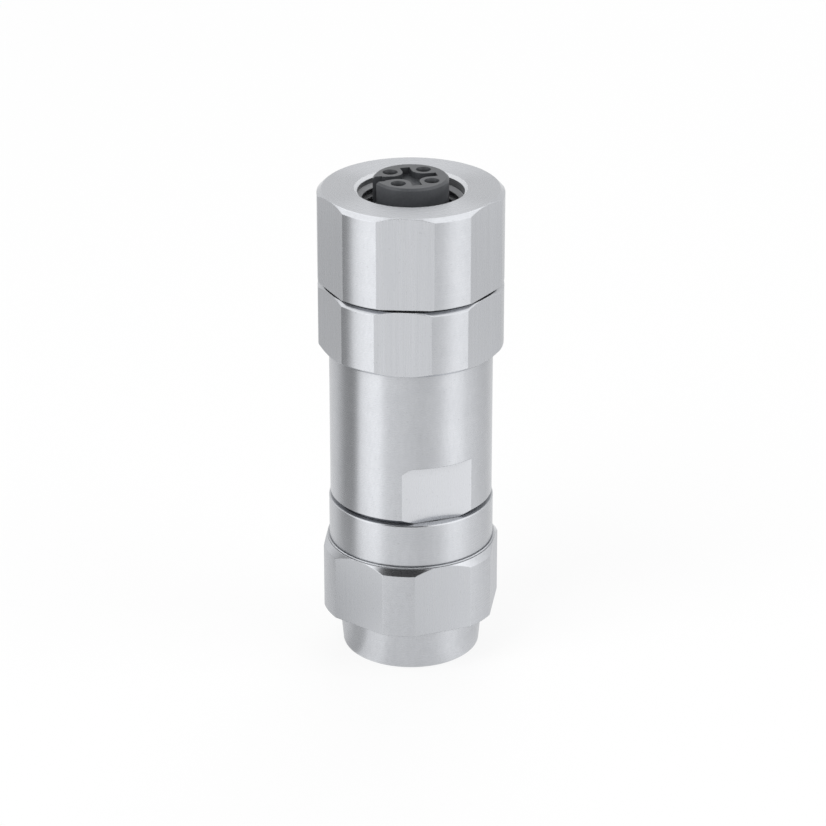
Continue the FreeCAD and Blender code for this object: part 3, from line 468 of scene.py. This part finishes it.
def steel(name, flat_distance, light=STEEL_LIGHT, dark=STEEL_DARK, sheen=0.4, sheen_colour=FLAT_SHEEN,
          bore_shade=BORE_SHADE, metal=1.0, bore_metal=0.6):
    """Machined steel: turned round the axis, brushed along it on the flats at this distance, less metallic in its
    bores, with painted shade there, in crevices and on level faces, a painted sheen on its flats and a painted
    highlight on the nut's mouth.
    """
    material, graph, shader = new_material(name)
    coordinates = graph.node("ShaderNodeTexCoord").outputs
    place, facing = coordinates["Object"], coordinates["Normal"]
    x, y, z = graph.split(place)
    radial = graph.join(x, y, 0.0)
    radius = graph.length(radial)
    flat, level, bore, lead_in, mouth, chamfer = steel_masks(graph, radial, radius, facing, flat_distance)
    lines, soft, specks = steel_marks(graph, place, radius, flat)

    share = graph.mix(level, graph.mix(flat, TURNED_LINES, FLAT_LINES), LEVEL_LINES)
    tone = graph.mix(graph.product(level, LEVEL_CALM), graph.mix(share, soft, lines), 0.5)
    colour = graph.mix_colour(tone, dark, light)
    # Painted shade on the level faces
    colour = graph.mix_colour(graph.product(level, LEVEL_SHADE), colour, BORE_SHADE)
    # The flats are pulled towards sheen_colour: a painted sheen where it is lighter, a painted shade on the cap
    colour = graph.mix_colour(graph.product(flat, sheen), colour, sheen_colour)
    # Painted shade in crevices, from ambient occlusion, faded out near the floor
    shade_share = graph.product(graph.crevice(*STEEL_CREVICE), graph.spread(z, *CREVICE_RISE, 0, CREVICE_SHARE))
    colour = graph.mix_colour(shade_share, colour, CREVICE_SHADE)
    colour = graph.mix_colour(graph.product(specks, SPECK_SHARE), colour, BORE_SHADE)
    # Painted highlight on the lead-in ring of the nut's mouth
    colour = graph.mix_colour(graph.product(mouth, MOUTH_SHARE), colour, MOUTH_SHEEN)
    # Painted shade in the bores
    graph.feed(shader["Base Color"], graph.mix_colour(bore, colour, bore_shade))
    graph.feed(shader["Metallic"], metal if metal == bore_metal else graph.mix(bore, metal, bore_metal))
    roughness = graph.mix(chamfer, graph.mix(lines, SMOOTHEST, ROUGHEST), CHAMFER_ROUGHNESS)
    graph.feed(shader["Roughness"], graph.mix(lead_in, roughness, LEAD_IN_ROUGHNESS))

    # The grooves smear the gloss across themselves
    around = graph.vector("NORMALIZE", graph.vector("CROSS_PRODUCT", (0, 0, 1), radial))
    groove = graph.to_world(graph.mix_vector(flat, around, (0, 0, 1)))
    across = graph.vector("CROSS_PRODUCT", groove, graph.node("ShaderNodeNewGeometry").outputs["Normal"])
    smear = graph.mix(chamfer, graph.mix(lead_in, SMEAR, 0.0), CHAMFER_SMEAR)
    graph.feed(shader["Anisotropic"], smear)
    graph.feed(shader["Tangent"], graph.vector("NORMALIZE", across))

    upward = graph.to_world((0, 0, 1))
    edge = graph.mix_vector(graph.product(mouth, MOUTH_LIFT), graph.rounded(STEEL_EDGE), upward)
    edge = graph.vector("NORMALIZE", edge)
    graph.feed(shader["Normal"], graph.relief(graph.mix(level, RELIEF, LEVEL_RELIEF), lines, Normal=edge))
    return material


def plate(name, dark, light, marks_scale, cloud_share, smoothest, roughest, strength):
    """Plated metal on small turned and pressed parts: soft gloss with faint rings."""
    material, graph, shader = new_material(name)
    place = graph.node("ShaderNodeTexCoord").outputs["Object"]
    marks = graph.noise(graph.vector("MULTIPLY", place, (PLATE_STREAK, PLATE_STREAK, 1)), marks_scale)
    tone = graph.mix(cloud_share, marks, graph.noise(place, PLATE_CLOUDS, 3)) if cloud_share else marks
    graph.feed(shader["Base Color"], graph.mix_colour(tone, dark, light))
    graph.feed(shader["Metallic"], 1.0)
    graph.feed(shader["Roughness"], graph.spread(tone, *NOISE_RANGE, smoothest, roughest))
    graph.feed(shader["Normal"], graph.relief(strength, marks))
    return material


def painted_sunk_shade(graph, place, face, holes):
    """Painted shade on the insert: how far it darkens below its face, inside its rim and in its holes."""
    x, y, z = graph.split(place)
    radial = graph.join(x, y, 0.0)
    deepest, shallowest = SUNK_DEPTH
    inside = graph.spread(graph.length(radial), *INSERT_RIM, 1, 0)
    dark = graph.product(inside, graph.spread(z, face - deepest, face - shallowest, SUNK_SHARE, 0))
    above = graph.math("GREATER_THAN", z, face - HOLE_DEPTH)
    for centre in holes:
        off = graph.vector("SUBTRACT", radial, (centre.x, centre.y, 0.0))
        core = graph.spread(graph.length(off), *HOLE_RADIUS, 1, 0)
        dark = graph.math("MAXIMUM", dark, graph.product(core, above))
    return dark


def moulded(name, dark, light, roughness, grain=5200, strength=0.25, face=None, holes=()):
    """A moulded plastic or rubber: fine grain, cloudy tone, and painted shade in corners, below this face and in
    these holes.
    """
    material, graph, shader = new_material(name)
    place = graph.node("ShaderNodeTexCoord").outputs["Object"]
    skin = graph.noise(place, grain)
    tone = graph.mix(0.5, skin, graph.noise(place, MOULD_CLOUDS, 3))
    colour = graph.mix_colour(graph.spread(tone, *MOULD_RANGE, 0, 1), dark, light)
    # Painted shade in corners, and on the insert in its sunk parts; shaded places lose most of their gloss
    shade_share = graph.product(graph.crevice(*MOULD_CREVICE), MOULD_CREVICE_SHARE)
    if face:
        shade_share = graph.math("MAXIMUM", shade_share, painted_sunk_shade(graph, place, face, holes))
    shade = tuple(PAINTED_SHADE_TONE * part for part in dark[:3]) + (1,)
    graph.feed(shader["Base Color"], graph.mix_colour(shade_share, colour, shade))
    graph.feed(shader["Specular IOR Level"], graph.mix(shade_share, SPECULAR, SHADED_SPECULAR))
    swing = roughness - ROUGHNESS_SWING, roughness + ROUGHNESS_SWING
    graph.feed(shader["Roughness"], graph.spread(skin, *NOISE_RANGE, *swing))
    graph.feed(shader["Normal"], graph.relief(strength, skin, Normal=graph.rounded(MOULD_EDGE)))
    return material


def dress(material, *names):
    """The CAD nodes of these names get the material."""
    for name in names:
        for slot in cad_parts[name].material_slots:
            slot.material = material


def numbered(name):
    """The four names of a piece that comes once for each contact."""
    return [f"{name}_{count}" for count in range(1, 5)]


def thread(name, body, material, wall, crest, start, end, turned=0.0):
    """A 60 degree screw thread on a wall: a helical ridge from the wall to its crest, which may vary with height."""
    outward = 1 if crest(0.5 * (start + end)) > wall else -1
    root = wall - outward * ROOT_SUNK
    steps = round((end - start - 2 * HALF_ROOT) / PITCH * STEPS_PER_TURN)
    profile = (-HALF_ROOT, 0), (-HALF_CREST, 1), (HALF_CREST, 1), (HALF_ROOT, 0)
    vertices, faces = [], []
    for step in range(steps + 1):
        angle = TURN * step / STEPS_PER_TURN + turned
        height = start + HALF_ROOT + PITCH * step / STEPS_PER_TURN
        ease = min(1, step / FADE_STEPS, (steps - step) / FADE_STEPS)
        for level, share in profile:
            tip = crest(height + level)
            tip = max(tip, root) if outward > 0 else min(tip, root)
            radius = root + (tip - root) * share * ease
            z = height + level * (ease if share else 1)
            vertices.append((radius * math.cos(angle), radius * math.sin(angle), z))
    for step in range(steps):
        for side in range(4):
            near, far = 4 * step + side, 4 * step + (side + 1) % 4
            face = (near, far, far + 4, near + 4)
            faces.append(face if outward > 0 else face[::-1])
    ends = (0, 1, 2, 3), (4 * steps + 3, 4 * steps + 2, 4 * steps + 1, 4 * steps)
    faces.extend(face[::-outward] for face in ends)
    mesh = bpy.data.meshes.new(name)
    mesh.from_pydata(vertices, [], faces)
    mesh.materials.append(material)
    mesh.validate()
    piece = bpy.data.objects.new(name, mesh)
    bpy.context.scene.collection.objects.link(piece)
    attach(piece, body)


def top(node):
    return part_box(node)[1].z


def bottom(node):
    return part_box(node)[0].z


# Camera, floor and light
make_camera()
make_floor()
make_world()
for lamp_name, (lamp_place, lamp_power) in LAMPS.items():
    make_lamp(lamp_name, lamp_place, lamp_power)

# Metals
# The sheen share and colour paint sheen on each part's flats, and shade on the cap's flats
nut_steel = steel("brushed_steel_nuts", NUT_HALF_FLATS, bore_shade=THREAD_SHADE, bore_metal=0.25)
cap_steel = steel("brushed_steel_cap", CAP_HALF_FLATS, sheen=0.8, sheen_colour=CAP_FLAT_SHADE)
sleeve_steel = steel("turned_steel_sleeve", SLEEVE_FLAT_DEPTH, sheen=0.9)
# The nut's inner thread: a darker copy of the steel, painted shade for its place deep in the bore; it is also less
# metallic
shaded_thread_steel = steel("cut_steel_thread_shaded", NUT_HALF_FLATS, SHADED_THREAD_LIGHT, SHADED_THREAD_DARK,
                     bore_shade=THREAD_SHADE, metal=0.4, bore_metal=0.4)
nickel = plate("nickel_plate", NICKEL_DARK, NICKEL_LIGHT, marks_scale=9000, cloud_share=0.5,
               smoothest=0.22, roughest=0.34, strength=0.15)
gold = plate("gold_plate", GOLD_DARK, GOLD_LIGHT, marks_scale=14000, cloud_share=0,
             smoothest=0.20, roughest=0.30, strength=0.1)
dress(nut_steel, "coupling_nut", "front_collar")
dress(cap_steel, "gland_nut")
dress(sleeve_steel, "body_sleeve")
dress(nickel, "insert_carrier", "insert_lock_ring", "nut_retaining_ring", *numbered("terminal_screw"))
dress(gold, *numbered("contact"))

# Plastics and rubber
# The insert's plastic gets painted shade below its face and in its contact holes, placed from the contacts' boxes
contact_holes = [sum(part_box(name), Vector()) / 2 for name in numbered("contact")]
black_plastic = moulded("black_plastic_moulded", BLACK_DARK, BLACK_LIGHT, roughness=0.36, strength=0.08,
                        face=top("contact_insert"), holes=contact_holes)
natural_plastic = moulded("natural_plastic_moulded", NATURAL_DARK, NATURAL_LIGHT, roughness=0.45)
rubber = moulded("rubber_black", RUBBER_DARK, RUBBER_LIGHT, roughness=0.60, grain=3500, strength=0.35)
dress(black_plastic, "contact_insert", "terminal_block")
dress(natural_plastic, "clamping_ring", "thrust_washer")
dress(rubber, "cable_seal", "sleeve_o_ring", "collar_o_ring", "insert_o_ring", "insert_face_seal")

# Threads
nut_top = top("coupling_nut")
collar_bottom = bottom("front_collar")
sleeve_bottom = bottom("body_sleeve")
cap_top = top("gland_nut")


def nut_crest(height):
    """The crest of the nut's thread, cut back by its 45 degree lead-in."""
    return max(NUT_THREAD_WALL - NUT_THREAD_DEPTH, NUT_MOUTH - (nut_top - height))


def outer_crest(_):
    return BODY_THREAD_CORE + THREAD_DEPTH


def inner_crest(_):
    return BODY_THREAD_BORE - THREAD_DEPTH


thread("plug_thread", "nut", shaded_thread_steel, NUT_THREAD_WALL, nut_crest,
       nut_top + NUT_THREAD_SPAN[0], nut_top + NUT_THREAD_SPAN[1])
thread("collar_thread", "front", nut_steel, BODY_THREAD_CORE, outer_crest,
       collar_bottom + COLLAR_THREAD_SPAN[0], collar_bottom + COLLAR_THREAD_SPAN[1])
thread("sleeve_socket_thread", "sleeve", sleeve_steel, BODY_THREAD_BORE, inner_crest,
       collar_bottom + SOCKET_THREAD_SPAN[0], collar_bottom + SOCKET_THREAD_SPAN[1], math.pi)
thread("sleeve_tail_thread", "sleeve", sleeve_steel, BODY_THREAD_CORE, outer_crest,
       sleeve_bottom + TAIL_THREAD_SPAN[0], sleeve_bottom + TAIL_THREAD_SPAN[1])
thread("cap_thread", "cap", cap_steel, BODY_THREAD_BORE, inner_crest,
       sleeve_bottom + CAP_THREAD_SPAN[0], cap_top + CAP_THREAD_SPAN[1], math.pi)

bpy.context.scene.view_settings.view_transform = "Standard"
